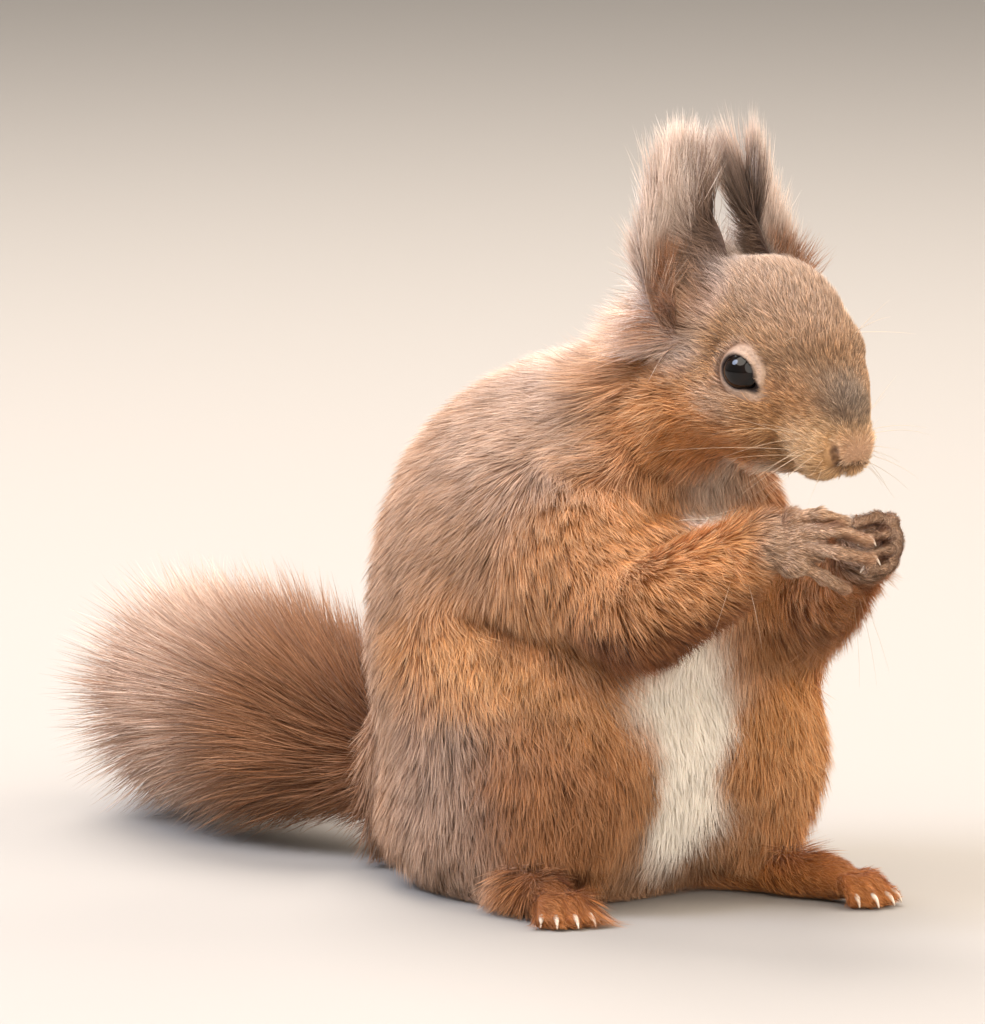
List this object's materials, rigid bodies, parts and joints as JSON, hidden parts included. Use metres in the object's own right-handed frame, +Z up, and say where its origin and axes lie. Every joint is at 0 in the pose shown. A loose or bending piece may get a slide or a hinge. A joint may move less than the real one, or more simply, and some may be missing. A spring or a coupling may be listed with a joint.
{
  "type": "red squirrel",
  "caption": "Life-size model of a red squirrel sitting up and leaning forward with its forepaws raised, ears tufted and bushy tail lying behind it.",
  "frame": {"origin": "middle of the bounding box at the plane the squirrel sits on", "axes": "+Z up, the squirrel faces -Y, its left side is towards +X, its tail lies towards +Y"},
  "size_m": [0.1042, 0.242, 0.1666],
  "materials": {
    "brown_coat": "matt, short grizzled fur",
    "rust_coat": "matt, short orange fur",
    "cream_coat": "matt, soft fur",
    "tail_coat": "matt, long fur",
    "ear_coat": "matt, thin fur with long tufts",
    "hand_skin": "matt, thinly furred skin",
    "foot_skin": "matt, thinly furred skin",
    "eye": "wet gloss"
  },
  "bodies": {
    "root": {"head": "brown_coat", "neck": "brown_coat", "chest": "brown_coat", "belly": "cream_coat", "upper_arm_left": "rust_coat", "upper_arm_right": "rust_coat", "forearm_left": "rust_coat", "forearm_right": "rust_coat", "hand_left": "hand_skin", "hand_right": "hand_skin", "thigh_left": "rust_coat", "thigh_right": "rust_coat", "foot_left": "foot_skin", "foot_right": "foot_skin", "tail_base": "tail_coat", "tail_middle": "tail_coat", "tail_end": "tail_coat", "ear_left": "ear_coat", "ear_right": "ear_coat", "ear_tuft_left": "ear_coat", "ear_tuft_right": "ear_coat", "eye_left": "eye", "eye_right": "eye"}
  },
  "joints": []
}
